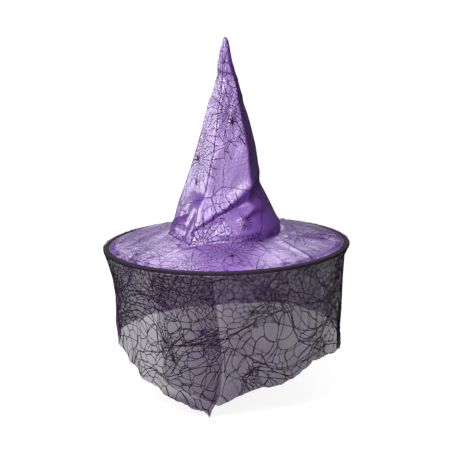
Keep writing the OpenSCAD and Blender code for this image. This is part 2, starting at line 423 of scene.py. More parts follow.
def grid_object(name, points, material, place=None, wrap_rows=False,
                wrap_cols=True, density=None):
    """Object from a grid of points. place[row, column] is the flat cloth, with
    one more column than points where the grid closes on itself."""
    rows, cols = points.shape[:2]
    faces, rr, cc = grid_faces(rows, cols, wrap_rows, wrap_cols)
    corners = None if place is None else place[rr % rows, cc]
    return make_mesh(name, points.reshape(-1, 3), faces, material, corners, density)


def round_the_hat(radius, bearing, height):
    """Points from radius, bearing and height, all arrays of one shape."""
    b = np.radians(bearing)
    return np.stack([radius * np.sin(b), -radius * np.cos(b), height + 0 * b], -1)


def unit(vectors):
    """The vectors, each with a length of 1."""
    return vectors / (np.linalg.norm(vectors, axis=-1, keepdims=True) + 1e-9)


def offset_inward(points, distance):
    """Moves a closed grid of points in towards the axis along its own normals."""
    up = np.gradient(points, axis=0)
    across = (np.roll(points, -1, 1) - np.roll(points, 1, 1)) / 2
    return points - unit(np.cross(across, up)) * distance


def waves(angle, rng, lowest, highest, count):
    """A sum of sine waves around the hat, mostly between -1 and 1, each with
    lowest to highest crests in a full turn."""
    total = 0 * angle
    for turns in rng.integers(lowest, highest, count):
        total = total + rng.uniform(0.5, 1) * np.sin(
            np.radians(angle) * turns + rng.uniform(0, math.tau))
    return total / math.sqrt(count)


def smooth(x):
    x = np.clip(x, 0, 1)
    return x * x * (3 - 2 * x)


# ---- sizes from the CAD

def box_mm(name):
    low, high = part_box(name)
    return np.array(low) * 1000, np.array(high) * 1000


RIM_Z = float(np.mean([b[2] for b in box_mm("brim_hoop")]))
RIM_R = float(box_mm("edge_binding")[1][0])
HOOP_R = float(box_mm("brim_hoop")[1][0]) - (
    box_mm("brim_hoop")[1][2] - box_mm("brim_hoop")[0][2]) / 2
LAYERS_R = float(box_mm("brim_top")[1][0])
OPEN_R = float(box_mm("sweatband")[1][0])
TOP_Z = float(box_mm("brim_top")[1][2])
CORE_Z = float(box_mm("brim_interlining")[1][2])
LINING_Z = float(box_mm("brim_lining")[1][2])
TIP_Z = float(box_mm("crown_outer")[1][2])
CROWN_R = float(box_mm("crown_outer")[1][0])
SATIN_T = TOP_Z - CORE_Z
SLOPE = -float(box_mm("brim_lining")[0][2]) / (LAYERS_R - OPEN_R)


def brim_z(radius, level):
    """Height of a brim layer that lies at level at the opening."""
    return level - SLOPE * (radius - OPEN_R)


# ---- crown

# The crown's flat panel: its fan's share of a full turn, and how much longer its
# slant is than its height.
FAN_SHARE, SLANT_PER_HEIGHT = 0.265, 1.037

# Left and right edge of the crown seen from the front, by height above the rim.
CROWN_EDGES = np.array([
    (25, -96, 91), (32, -93, 90), (50, -86, 84), (80, -77, 70.5),
    (105, -67.5, 60), (130, -58.6, 58), (150, -52, 56), (172, -44.5, 53),
    (212, -32.5, 44.2), (233, -27.5, 38.2), (253, -20.3, 34.0), (263, -16.7, 31.2),
    (273, -13, 30.3), (284, -9.6, 27), (294, -7.5, 22.8), (305, -7, 21),
    (315, -5.3, 18), (336, -1.4, 15.2), (346, 2, 13.6), (356, 4, 11)])


def crown_section(bearing, height):
    """Outline of the creased crown: flat facets with soft corners between."""
    left_way = np.interp(height, [30, 60, 85, 105, 190, 260],
                         [-69, -69, -67, -59, -58, -55])
    left_far = np.interp(height, [40, 90, 190], [1.0, 0.99, 0.975])
    low_right = np.interp(height, [30, 62, 84], [0.90, 0.93, 1.25])
    facets = [(left_way, left_far), (5, 1.0), (50, low_right), (77, 0.95),
              (-112, np.interp(height, [60, 100], [1.0, 1.1])), (120, 0.99), (145, 1.0),
              (170, 1.0), (195, 1.0), (220, 0.99), (245, 0.985)]
    sharp = np.interp(height, [25, 60, 240, 330], [26, 38, 32, 8])
    total = 0
    for way, far in facets:
        total = total + (np.maximum(np.cos(np.radians(bearing - way)), 1e-3)
                         / far) ** sharp
    return total ** (-1 / sharp)


def along_crease(bearing, height, radius, points):
    """Distance to a crease on the crown, where along it, and which side."""
    best = np.full(bearing.shape, 1e9)
    where, side = 0 * best, 0 * best
    for i in range(len(points) - 1):
        (b0, h0), (b1, h1) = points[i], points[i + 1]
        x0, x1 = np.radians(b0) * radius, np.radians(b1) * radius
        x = np.radians(bearing) * radius
        dx, dy = x1 - x0, h1 - h0
        t = np.clip(((x - x0) * dx + (height - h0) * dy) / (dx * dx + dy * dy), 0, 1)
        far = np.hypot(x - x0 - t * dx, height - h0 - t * dy)
        closer = far < best
        best = np.where(closer, far, best)
        where = np.where(closer, (i + t) / (len(points) - 1), where)
        side = np.where(closer, np.sign(dx * (height - h0 - t * dy)
                                        - dy * (x - x0 - t * dx)), side)
    return best, where, side


def crown_dents(bearing, height, radius, rng):
    """How far the crown's cloth is pushed out, from its creases and dents."""
    def crease(*points):
        return along_crease(bearing, height, radius, points)

    def bulge(way, width, level, tall):
        return np.exp(-((bearing - way) / width) ** 2) \
            * np.exp(-((height - level) / tall) ** 2)

    # The buckle across the front: a valley under an overhanging fold, whose
    # face widens to the right.
    far, where, side = crease((-34, 44), (-21, 56), (-9, 67), (10, 72), (45, 90),
                              (88, 103))
    depth = np.interp(where, [0, 0.3, 0.6, 0.8, 1], [2.5, 5.0, 11.5, 14.0, 4.0])
    face = np.interp(where, [0, 0.45, 0.62, 0.8, 1], [4.0, 6.0, 14.0, 23.0, 24.0])
    foot = np.interp(where, [0, 0.5, 1], [2.8, 5.0, 11.0])
    push = -depth * np.where(side > 0, 1 - smooth(far / face),
                             np.exp(-(far / foot) ** 2))
    push += 0.22 * depth * np.exp(-((far - face - 3) / 7) ** 2) * (side > 0)
    # Folds that run down and back across the lower left.
    for fold, deep, wide in (([(-50, 92), (-60, 66), (-66, 36)], 5.0, 8.0),
                             ([(-36, 74), (-46, 52), (-50, 34)], 3.0, 6.0)):
        push -= deep * np.exp(-(crease(*fold)[0] / wide) ** 2) \
            * smooth((92 - height) / 30)
    # The pocket to the right of the lower front facet, and the ridge beside it.
    push -= 4.0 * np.exp(-(crease((40, 66), (38, 52), (30, 40))[0] / 13.0) ** 2)
    push += 1.8 * np.exp(-(crease((19.5, 65), (25, 59), (13, 43), (9.5, 35))[0]
                           / 4.0) ** 2)
    # Soft rolls of cloth at the foot, a large one on the right.
    push += 8.0 * bulge(58, 24, 25, 13) + 2.0 * bulge(-36, 14, 25, 8)
    # Crumples at the foot on the left, and small creases all over.
    push += bulge(-62, 26, 28, 12) * 3.2 * waves(bearing + 0.9 * height, rng, 24, 50, 5)
    push += 0.3 * waves(bearing + 0.35 * height, rng, 3, 11, 4)
    push += 0.2 * waves(bearing - 0.5 * height, rng, 8, 22, 4)
    fine = np.exp(-((height - 262) / 40) ** 2)
    return push + 0.8 * fine * np.sin(height / 5.2 + np.radians(bearing) * 1.2)


def crown_wall(rows, cols):
    """Grid of points on the outside of the crown, from foot to tip, with the
    bearings and the heights above the rim that it was laid out on."""
    rng = np.random.default_rng(7)
    foot, tip = TOP_Z - RIM_Z, TIP_Z - RIM_Z
    up = foot + 1.0 + (tip - foot - 1.0) * np.linspace(0, 1, rows) ** 1.12
    bearing, height = np.broadcast_arrays(
        np.linspace(-180, 180, cols, endpoint=False), up[:, None])
    section = crown_section(bearing, height)
    # Each row is stretched and shifted to meet the left and right edges.
    b = np.radians(bearing)
    across = section * np.sin(b)
    left, right = [np.interp(up, CROWN_EDGES[:, 0], CROWN_EDGES[:, k]) for k in (1, 2)]
    low, high = across.min(1), across.max(1)
    size = (right - left) / (high - low)
    shift = left - low * size
    # The last rows round the tip off.
    close = np.clip((tip - up) / 4.5, 0, 1)
    size = size * np.sqrt(np.maximum(1 - (1 - close) ** 2, 1e-5))
    radius = section * size[:, None]
    push = crown_dents(bearing, height, np.maximum(radius, 6), rng)
    radius = radius + push * smooth((tip - height) / 60) * smooth(radius / 12)
    x, y = radius * np.sin(b) + shift[:, None], -radius * np.cos(b)
    # Near the foot the cloth never comes in past its seam with the brim.
    least = CROWN_R + np.interp(height - foot, [0, 14, 30, 60, 90],
                                [0.9, 0.7, -9, -34, -90])
    radius = np.maximum(np.hypot(x, y), least)
    for _ in range(3):
        radius = (np.roll(radius, 1, 1) + 2 * radius + np.roll(radius, -1, 1)) / 4
        radius[1:-1] = (radius[:-2] + 2 * radius[1:-1] + radius[2:]) / 4
    points = round_the_hat(radius, np.degrees(np.arctan2(x, -y)), RIM_Z + height)
    return points, bearing, height


def tucked_foot(wall, count):
    """The wall with rows below it that carry its foot under, back to the seam."""
    first = wall[0]
    flat = np.hypot(first[:, 0], first[:, 1])
    way = first[:, :2] / flat[:, None]
    seam_r = CROWN_R + 0.4
    rows = []
    for t in np.linspace(0, 1, count, endpoint=False):
        reach = seam_r + (flat + 0.8 - seam_r) * math.sin(t * math.pi / 2) ** 0.8
        reach = np.where(flat < seam_r + 0.8, seam_r + (flat - seam_r) * t, reach)
        z = brim_z(reach, TOP_Z) + 0.3 + (1 - math.cos(t * math.pi / 2)) * (
            first[:, 2] - brim_z(flat, TOP_Z) - 0.3)
        rows.append(np.column_stack([way * reach[:, None], z]))
    return np.concatenate([np.array(rows), wall])


def unrolled(height, bearing):
    """Place of the crown's points on its flat fan-shaped panel, in metres."""
    reach = np.maximum(TIP_Z - RIM_Z - height, 0) * SLANT_PER_HEIGHT
    turn = np.radians(bearing) * FAN_SHARE
    return np.stack([reach * np.sin(turn), -reach * np.cos(turn)], -1) * MM


def closed_shell(name, outer, thickness, material, place=None):
    """A closed layer of cloth of one thickness inside a wall of points."""
    inner = offset_inward(outer, thickness)
    loop = np.concatenate([outer, inner[::-1]])
    if place is not None:
        place = np.concatenate([place, place[::-1]])
    return grid_object(name, loop, material, place, wrap_rows=True)


def make_crown(satin_cloth, stiffening):
    """The printed cloth of the crown, the stiff layer inside it, and the grid
    of the cloth's outside."""
    wall, bearing, height = crown_wall(230, 420)
    # Lower the foot so that it follows the slope of the brim.
    flat = np.hypot(wall[..., 0], wall[..., 1])
    drop = (flat - OPEN_R) * SLOPE * smooth(1 - (height - height[0, 0]) / 30)
    wall[..., 2] -= np.maximum(drop, 0)
    rows = 7
    outer = tucked_foot(wall, rows)
    foot = np.linspace(-rows * 1.2, -1.2, rows)[:, None] + height[:1]
    height = np.concatenate([foot, height])
    bearing = np.concatenate([np.repeat(bearing[:1], rows, 0), bearing])
    height = np.concatenate([height, height[:, :1]], 1)
    bearing = np.concatenate([bearing, bearing[:, :1] + 360], 1)
    cloth = closed_shell("crown_cloth", outer, SATIN_T, satin_cloth,
                         unrolled(height, bearing))
    core = offset_inward(wall, SATIN_T + 0.08)[3:-3:2, ::2]
    return cloth, closed_shell("crown_stiffener", core, 1.1, stiffening), wall


# ---- brim

def brim_ripples(x, y, rng_seed):
    """Small unevenness of the brim's cloth, in mm."""
    rng = np.random.default_rng(rng_seed)
    total = 0 * x
    for _ in range(14):
        way = rng.uniform(0, math.tau)
        length = rng.uniform(22, 90)
        total = total + rng.uniform(0.3, 1) * np.sin(
            (x * math.cos(way) + y * math.sin(way)) * math.tau / length
            + rng.uniform(0, math.tau))
    return total / 8


def brim_pleats(x, y):
    """Pulls that run from the foot of the crown to the rim, front left mostly:
    furrows (negative) and raised folds, each from one bearing and radius to
    another."""
    total = 0 * x
    for b0, r0, b1, r1, depth, width in (
            (-44.4, 116, -48.5, 188, -1.6, 3.6), (-32, 120, -39.2, 188, -1.8, 4.0),
            (-38, 118, -44, 184, 1.0, 3.6), (-52, 116, -57, 186, 1.3, 3.4),
            (-57, 117, -64, 188, 1.2, 3.0), (-63, 117, -77, 190, 1.4, 3.2),
            (-22, 112, -27, 184, 0.9, 6.0), (12, 112, 9, 184, -0.8, 5.0),
            (27, 112, 30, 186, 1.0, 6.0), (52, 118, 47, 188, 1.2, 5.0),
            (66, 112, 76, 190, 1.5, 4.0), (74, 112, 88, 190, -1.3, 4.5),
            (84, 114, 98, 190, 1.2, 4.0), (-100, 112, -112, 188, 0.8, 6.0)):
        ends = round_the_hat(np.array([r0, r1]), np.array([b0, b1]), 0)
        (x0, y0), (x1, y1) = ends[:, :2]
        dx, dy = x1 - x0, y1 - y0
        t = ((x - x0) * dx + (y - y0) * dy) / (dx * dx + dy * dy)
        inside = np.clip(t, 0, 1)
        far = np.hypot(x - x0 - inside * dx, y - y0 - inside * dy)
        total = total + depth * np.exp(-(far / width) ** 2)
    return total


def brim_layer(name, level, thickness, material, seed, sag=None):
    """One cloth layer of the sloping brim. The top layer has no sag: it is
    crumpled and pulled. The others are flat above and sag a little below."""
    radius, bearing = np.broadcast_arrays(
        np.linspace(OPEN_R + 0.2, LAYERS_R - 0.1, 110)[:, None],
        np.linspace(-180, 180, 420, endpoint=False))
    x, y, _ = np.moveaxis(round_the_hat(radius, bearing, 0), -1, 0)
    held = smooth((radius - OPEN_R) / 12) * smooth((RIM_R - 8 - radius) / 13)
    ripples = brim_ripples(x, y, seed)
    if sag is None:
        up = held * (1.9 + 2.2 * ripples + 1.25 * brim_pleats(x, y))
        top_up = under_up = np.maximum(up, -0.05)
    else:
        top_up = 0
        under_up = -sag * held * (0.5 + 0.55 * ripples)
    top = round_the_hat(radius, bearing, brim_z(radius, level) + top_up)
    under = round_the_hat(radius, bearing,
                          brim_z(radius, level - thickness) + under_up * 0.98)
    flat = top[..., :2] * MM
    flat = np.concatenate([flat, flat[:, :1]], 1)
    return grid_object(name, np.concatenate([top, under[::-1]]), material,
                       np.concatenate([flat, flat[::-1]]), wrap_rows=True)


def make_binding(material):
    """Black tape folded over the hoop and the rim, slightly puckered."""
    rng = np.random.default_rng(3)
    bearing = np.linspace(-180, 180, 720, endpoint=False)
    bead, inner, wire_gap = RIM_R - HOOP_R, RIM_R - 9.0, 1.32
    tape_t = bead - TOP_Z / 2

    def arc(radius, angles):
        return [(HOOP_R + radius * math.cos(t), RIM_Z + radius * math.sin(t))
                for t in angles]

    def leaf(level, side):
        """From the bead in to the tape's edge, and back under it to the wire."""
        edge_z = brim_z(inner, level)
        return [(r, brim_z(r, level) + side * (tape_t - 0.15))
                for r in np.linspace(HOOP_R - 1.5, inner + 0.6, 6)] + [
            (inner, edge_z + side * (tape_t - 0.6)), (inner, edge_z + side * 0.25),
            (inner + 0.5, edge_z + side * 0.02),
            (LAYERS_R + 0.1, brim_z(LAYERS_R, level) + side * 0.05)]

    path = np.array(arc(bead, np.linspace(-math.pi / 2, math.pi / 2, 15))
                    + leaf(TOP_Z, 1) + arc(wire_gap, np.linspace(2.3, -2.3, 9))
                    + leaf(0, -1)[::-1])
    radius = np.repeat(path[:, :1], bearing.size, 1)
    height = np.repeat(path[:, 1:], bearing.size, 1)
    middle = RIM_Z + SLOPE * (HOOP_R - radius)
    outside = np.minimum(smooth((np.abs(height - middle) - 2.2) / 0.6)
                         + smooth((radius - HOOP_R - 1.6) / 0.8), 1)
    pucker = 0.16 * np.sin(np.radians(bearing) * 168) \
        + 0.22 * waves(bearing, rng, 20, 60, 5)
    # These draws shape nothing. They keep the next ones, the edge's, in place.
    waves(bearing, rng, 2, 7, 3)
    edge = smooth((inner + 1.5 - radius) / 1.5) * 0.5 * waves(bearing, rng, 14, 50, 5)
    radius = radius + edge + outside * pucker * smooth((radius - HOOP_R) / 2) * 0.6
    side = np.sign(height - RIM_Z - SLOPE * (HOOP_R - radius))
    height = height + outside * pucker * 0.6 * side
    points = round_the_hat(radius, np.broadcast_to(bearing, radius.shape), height)
    return grid_object("rim_binding", points, material, None, wrap_rows=True)


def make_head_band(material):
    """The ribbon inside the head opening; its ends overlap at the back."""
    rng = np.random.default_rng(5)
    top = box_mm("sweatband")[1][2]
    bearing, height = np.broadcast_arrays(np.linspace(-184, 184, 380),
                                          np.linspace(0.1, top, 18)[:, None])
    lap = smooth((bearing - 172) / 6)
    give = 0.35 * waves(bearing, rng, 3, 9, 3) * (height / top)
    outer = OPEN_R - 0.05 - 0.8 * lap - np.abs(give) * smooth(height / 4)
    loop = np.concatenate([round_the_hat(outer, bearing, height),
                           round_the_hat(outer - 0.72, bearing, height)[::-1]])
    rows, cols = loop.shape[:2]
    faces = grid_faces(rows, cols, True, False)[0].tolist()
    first = list(range(0, rows * cols, cols))
    ends = [first[::-1], [corner + cols - 1 for corner in first]]
    return make_mesh("head_band", loop.reshape(-1, 3), faces + ends, material)


# ---- veil

# How far the lace hangs below the hoop along the strip, which starts at its
# free front edge and runs to the left, right round to the end tucked under it.
HEM = np.array([
    (-7, 248), (-9, 241), (-12, 238), (-19, 235), (-27, 226), (-39, 210),
    (-51, 196), (-60, 179), (-75, 163), (-90, 153), (-110, 147), (-150, 146),
    (-180, 145), (-210, 139), (-240, 145), (-255, 154), (-262, 168), (-270, 180),
    (-288, 173), (-296, 171), (-312, 171), (-316, 178), (-326, 194), (-332, 199),
    (-338, 201), (-343, 200), (-349, 204), (-359, 218), (-364, 225), (-367, 228),
    (-380, 213), (-399, 193)])

# Share of the light that the net takes away, along the strip.
DENSITY = np.array([
    (-7, 0.58), (-40, 0.64), (-60, 0.66), (-90, 0.66), (-130, 0.55), (-180, 0.55),
    (-240, 0.58), (-270, 0.68), (-290, 0.78), (-310, 0.84), (-353, 0.86),
    (-362, 0.84), (-370, 0.74), (-399, 0.36)])

# Radius of the hanging lace by drop: at the left, at the right, front and back.
LEFT_HANG = np.array([(0, 205.4), (4, 204), (15, 200), (46, 191.5), (75, 187.5),
                      (121, 187), (155, 182), (250, 178)])
RIGHT_HANG = np.array([(0, 205.4), (4, 203), (16, 196.5), (46, 194), (80, 190.5),
                       (131, 186), (166, 184.5), (185, 182), (250, 182)])
MIDDLE_HANG = np.array([(0, 205.4), (4, 204), (16, 198.5), (46, 193.5), (101, 188.5),
                        (201, 184), (250, 183)])
# Bearings where the strip starts, begins to lap under itself, and ends; the
# radius that it is measured at; and its length.
STRIP_START, LAP_START, STRIP_END = -7, -367, -399
STRIP_R = 203
STRIP_LENGTH = math.radians(STRIP_START - STRIP_END) * STRIP_R


def table(values, at):
    """Looks a value up in a two-column table, whichever way it runs."""
    values = values[np.argsort(values[:, 0])]
    return np.interp(at, values[:, 0], values[:, 1])


def hang(strip, drop):
    """Point on the veil at a bearing along the strip and a drop in mm."""
    side = np.sin(np.radians(strip))
    wl, wr = np.maximum(-side, 0) ** 2, np.maximum(side, 0) ** 2
    radius = (wl * table(LEFT_HANG, drop) + wr * table(RIGHT_HANG, drop)
              + (1 - wl - wr) * table(MIDDLE_HANG, drop))
    rng = np.random.default_rng(11)
    loose = smooth(drop / 190)
    fold = (2.6 * waves(strip + 0.05 * drop, rng, 13, 27, 5)
            + 1.4 * waves(strip - 0.08 * drop, rng, 30, 52, 4))
    tight = smooth(drop / 12) * smooth((40 - drop) / 30)
    radius = radius + fold * loose + 0.5 * tight * waves(strip, rng, 60, 110, 4)
    # The end of the strip lies under its beginning.
    under = smooth((LAP_START + 3 - strip) / 6)
    radius = radius - under * (1.0 + 3.2 * loose) - 1.3 * under
    # The free edge in front leans, and its corner is drawn in to the left.
    shift = smooth((strip + 27) / 18) * np.interp(
        drop, [0, 150, 205, 222, 235, 250], [0, 3.6, 1.9, -0.3, -2.6, -4.3])
    return round_the_hat(radius, strip + shift, RIM_Z - drop)


def strip_grid(rows, cols):
    """Bearings along the strip and drops, down to the cut of the hem."""
    strip = np.linspace(STRIP_START, STRIP_END, cols)
    rng = np.random.default_rng(23)
    hem = table(HEM, strip) + 0.6 * waves(strip, rng, 40, 120, 4) \
        + 0.7 * waves(strip, rng, 9, 30, 4)
    top = -2.4 + 0.6 * waves(strip, rng, 50, 120, 5)
    top = np.where(strip < LAP_START, 4.6, top)
    t = np.linspace(0, 1, rows)[:, None]
    return np.broadcast_to(strip, (rows, cols)), top + (hem - top) * t


def make_net(material):
    """The fine net of the veil, one strip that laps over itself in front."""
    strip, drop = strip_grid(96, 1100)
    density = table(DENSITY, strip) - 0.15 * smooth((5 - drop) / 6)
    density += 0.28 * smooth((drop - 200) / 25) * smooth((strip + 50) / 15)
    place = np.stack([np.radians(strip) * STRIP_R, -drop], -1) * MM
    return grid_object("veil_net", hang(strip, drop), material, place, False, False,
                       density)


# ---- threads and stitching

def tube(path, thick):
    """A flattened four-sided thread along a path on the veil: points and faces."""
    out = unit(path * (1, 1, 0))
    wide = unit(np.cross(unit(np.gradient(path, axis=0)), out))
    half = thick[:, None] / 2
    deep = half * 0.6
    ring = np.stack([path + wide * half, path + out * deep,
                     path - wide * half, path - out * deep], 1)
    faces = grid_faces(len(path), 4, False, True)[0]
    ends = [[3, 2, 1, 0], [4 * len(path) - 4 + k for k in range(4)]]
    return ring.reshape(-1, 3), np.concatenate([faces, np.array(ends)])


def join(pieces):
    """Several (points, faces) as one."""
    points, faces, count = [], [], 0
    for p, f in pieces:
        points.append(p)
        faces.append(f + count)
        count += len(p)
    return np.concatenate(points), np.concatenate(faces)


def web_centres(rng):
    """Middles of the lace webs on the flat strip, as (along, drop) in mm."""
    centres = []
    for row, (drop, count) in enumerate(((48, 7), (120, 7), (190, 6))):
        for i in range(count):
            along = (i + 0.5 * (row % 2) + rng.uniform(-0.3, 0.3)) \
                * STRIP_LENGTH / count
            centres.append((along, drop + rng.uniform(-20, 20)))
    return np.array(centres)


def pulled(path):
    """Draws a flat path out of true, as the lace is by its own weight."""
    along, drop = path[:, 0], path[:, 1]
    low = smooth((drop - 30) / 60)
    return path + np.stack([
        (4 + 9 * low) * np.sin(drop / 25 + 1.6 * np.sin(along / 57)),
        (4 + 9 * low) * np.sin(along / 33 + 1.5 * np.sin(drop / 29))], 1)


def lace_seeds(rng):
    """Middles of the lace's meshes on the flat strip: close together in a band
    under the rim and in knots lower down, wide apart between."""
    knots = np.stack([rng.uniform(0, STRIP_LENGTH, 30), rng.uniform(70, 235, 30)], 1)
    tries = np.stack([rng.uniform(-30, STRIP_LENGTH + 30, 15000),
                      rng.uniform(-20, 270, 15000)], 1)
    edge = 50 + 16 * np.sin(tries[:, 0] / 83) + 9 * np.sin(tries[:, 0] / 31)
    wide = np.interp(tries[:, 1] - edge, [0, 26, 90], [10.5, 27, 36])
    near = np.hypot(tries[:, None, 0] - knots[:, 0],
                    (tries[:, None, 1] - knots[:, 1]) * 1.6).min(1)
    wide = np.minimum(wide, 7.5 + 0.55 * near)
    seeds = np.zeros((0, 2))
    for spot, gap in zip(tries, wide * rng.uniform(0.45, 1.1, len(wide))):
        if (np.hypot(*(seeds - spot).T) > gap).all():
            seeds = np.vstack([seeds, spot])
    return seeds


def cell_sides(seeds):
    """The sides of the Voronoi cells round the seeds, as pairs of end points:
    each joins the circumcentres of two triangles that share a side."""
    made = delaunay_2d_cdt([Vector(seed) for seed in seeds], [], [], 0, 1e-6)
    corners, triangles = np.array([tuple(v) for v in made[0]]), made[2]
    middles, shared = [], {}
    for index, triangle in enumerate(triangles):
        a, b, c = corners[list(triangle)]
        b, c = b - a, c - a
        turn = 2 * (b[0] * c[1] - b[1] * c[0])
        middles.append(a + np.array([c[1] * (b @ b) - b[1] * (c @ c),
                                     b[0] * (c @ c) - c[0] * (b @ b)]) / turn)
        for k in range(3):
            side = tuple(sorted((triangle[k], triangle[k - 1])))
            shared.setdefault(side, []).append(index)
    return [(middles[pair[0]], middles[pair[1]])
            for pair in shared.values() if len(pair) == 2]


def lace_cells(rng):
    """Threads round the meshes of the lace. Some long ones run double."""
    paths = []
    for first, last in cell_sides(lace_seeds(rng)):
        gap = np.hypot(*(last - first))
        if not 1.0 < gap < 90:
            continue
        strands = 2 if gap > 16 and rng.uniform() < 0.5 else 1
        for _ in range(strands):
            path = bowed(first, last, rng.uniform(-0.36, 0.36))
            t = np.linspace(-1, 1, len(path))
            fine = 0.8 + 0.3 * smooth((first[1] - 50) / 60)
            paths.append((pulled(path), fine * rng.uniform(0.9, 1.3) + 0.6 * t ** 4))
    return paths


def curve(first, middle, last, count):
    """A quadratic curve in count steps, pulled towards its middle point."""
    t = np.linspace(0, 1, count + 1)[:, None]
    return (1 - t) ** 2 * first + 2 * t * (1 - t) * middle + t ** 2 * last


def bowed(first, last, bow, step=2.6):
    """A thread from first to last that bows sideways by a share of its length."""
    gap = last - first
    middle = (first + last) / 2 + bow * np.array([-gap[1], gap[0]])
    count = max(3, int(np.hypot(*gap) * (1 + abs(bow)) / step))
    return curve(first, middle, last, count)


def web_threads(rng):
    """The middles of the webs, and the paths of their spokes and of the sagging
    threads between spokes, each with its thickness."""
    centres = web_centres(rng)
    paths = []
    for index, centre in enumerate(centres):
        others = np.delete(centres, index, 0) - centre
        count = rng.integers(7, 11)
        spread = (np.arange(count) + rng.uniform(-0.38, 0.38, count)) \
            * math.tau / count + rng.uniform(0, 1)
        squash = rng.uniform(0.75, 1.3)
        bend = rng.uniform(-0.8, 0.8, count)
        edge = rng.uniform(20, 34)

        def on_spoke(k, far):
            turn = spread[k] + bend[k] * (far / 60) ** 1.5
            return centre + far * np.array([math.cos(turn) * squash,
                                            math.sin(turn) / squash])

        # Each spoke ends where it comes nearer to another web's middle.
        reach = []
        for k in range(count):
            far = 4.0
            while far < 52:
                here = on_spoke(k, far) - centre
                if (np.hypot(*(others - here).T) < np.hypot(*here)).any():
                    break
                far += 2.0
            reach.append(far)
            steps = np.arange(1.5, far, 2.5)
            if steps.size > 2:
                paths.append((np.array([on_spoke(k, f) for f in steps]),
                              rng.uniform(0.9, 1.3)))
        ring = 4.0
        while ring < 50:
            for k in range(count):
                after = (k + 1) % count
                far = ring * rng.uniform(0.88, 1.12, 2)
                if far[0] > reach[k] or far[1] > reach[after]:
                    continue
                if rng.uniform() > (0.92 if ring < edge else 0.42):
                    continue
                first, last = on_spoke(k, far[0]), on_spoke(after, far[1])
                # It sags towards the middle of the web.
                sag = rng.uniform(0.10, 0.38)
                side = np.array([-(last - first)[1], (last - first)[0]])
                hand = 1 if side @ (centre - (first + last) / 2) > 0 else -1
                paths.append((bowed(first, last, hand * sag),
                              rng.uniform(0.85, 1.3)))
            ring += rng.uniform(4.5, 7.5) if ring < edge else rng.uniform(13, 20)
    return centres, paths


def long_threads(rng, centres):
    """Long slack threads that sweep from web to web."""
    paths = []
    for index, centre in enumerate(centres):
        gap = np.hypot(*(centres - centre).T)
        for other in np.argsort(gap)[1:9]:
            if other < index or rng.uniform() > 0.85:
                continue
            bow = rng.uniform(0.14, 0.42) * rng.choice((-1, 1))
            start = centre + rng.uniform(-16, 16, 2)
            end = centres[other] + rng.uniform(-16, 16, 2)
            paths.append((pulled(bowed(start, end, bow)), rng.uniform(1.0, 1.5)))
    return paths


def lace_spiders(rng, centres):
    """Small woven spiders: a thick body and eight bent legs each."""
    paths = []
    for centre in centres:
        place = centre + rng.uniform(-30, 30, 2)
        turn = rng.uniform(0, math.tau)
        way = np.array([math.cos(turn), math.sin(turn)])
        side = np.array([-way[1], way[0]])
        t = np.linspace(-1, 1, 9)
        body = place + t[:, None] * way * 5.0
        paths.append((body, 0.8 + 4.0 * np.sqrt(np.maximum(1 - t ** 2, 0))))
        for leg in range(8):
            hand = 1 if leg % 2 else -1
            fore = (leg // 2 - 1.5) / 1.5
            knee = place + way * fore * 5 + side * hand * 5
            foot = place + way * fore * 10 + side * hand * 8.5
            paths.append((curve(place, knee, foot, 5), 0.9))
    return paths


def on_veil(path, thick, hem_at):
    """Lays a flat path on the hanging veil; cuts it off at the hem and ends."""
    strip = STRIP_START - np.degrees(path[:, 0] / STRIP_R)
    drop = path[:, 1]
    keep = (strip < STRIP_START - 0.2) & (strip > STRIP_END + 0.3)
    keep &= (drop < hem_at(strip) - 0.8) & (drop > np.where(strip < LAP_START, 6, -3.2))
    # Where each unbroken run of kept points starts and ends.
    turns = np.flatnonzero(np.diff(np.concatenate([[0], keep.astype(int), [0]])))
    thick = np.broadcast_to(thick, (len(path),))
    made = []
    for start, end in zip(turns[::2], turns[1::2]):
        if end - start < 3:
            continue
        points = hang(strip[start:end], drop[start:end])
        made.append(tube(points + unit(points * (1, 1, 0)) * 0.35, thick[start:end]))
    return made


def make_lace(material):
    """The webs, long threads, meshes and spiders worked on the net."""
    rng = np.random.default_rng(2)
    centres, webs = web_threads(rng)
    strip, drop = [grid[1][::-1] for grid in strip_grid(2, 2000)]

    def hem_at(place):
        return np.interp(place, strip, drop)

    def laid(name, threads):
        made = [piece for path, thick in threads
                for piece in on_veil(path, thick, hem_at)]
        return make_mesh(name, *join(made), material)

    lace = laid("veil_webs", webs + long_threads(rng, centres) + lace_cells(rng))
    return lace, laid("veil_spiders", lace_spiders(rng, centres))


def stitch(start, end, out, rise):
    """One stitch that arches out of the cloth between its two holes."""
    thick, steps, sides = 0.45, 7, 6
    t = np.linspace(0, 1, steps)
    path = start + (end - start) * t[:, None] \
        + np.asarray(out) * (rise * np.sin(math.pi * t) - 0.15)[:, None]
    ahead = (end - start) / np.linalg.norm(end - start)
    side = np.cross(ahead, out)
    ring = [path + thick / 2 * (math.cos(a) * side + math.sin(a) * np.asarray(out))
            for a in np.linspace(0, math.tau, sides, endpoint=False)]
    faces = grid_faces(steps, sides, False, True)[0].tolist()
    last = sides * (steps - 1)
    return np.stack(ring, 1).reshape(-1, 3), faces + [
        list(range(sides))[::-1], list(range(last, last + sides))]


def sew(name, stitches, material):
    """One run of stitches as one object."""
    faces, count = [], 0
    for points, sides in stitches:
        faces += [[k + count for k in side] for side in sides]
        count += len(points)
    return make_mesh(name, np.concatenate([points for points, _ in stitches]), faces,
                     material)


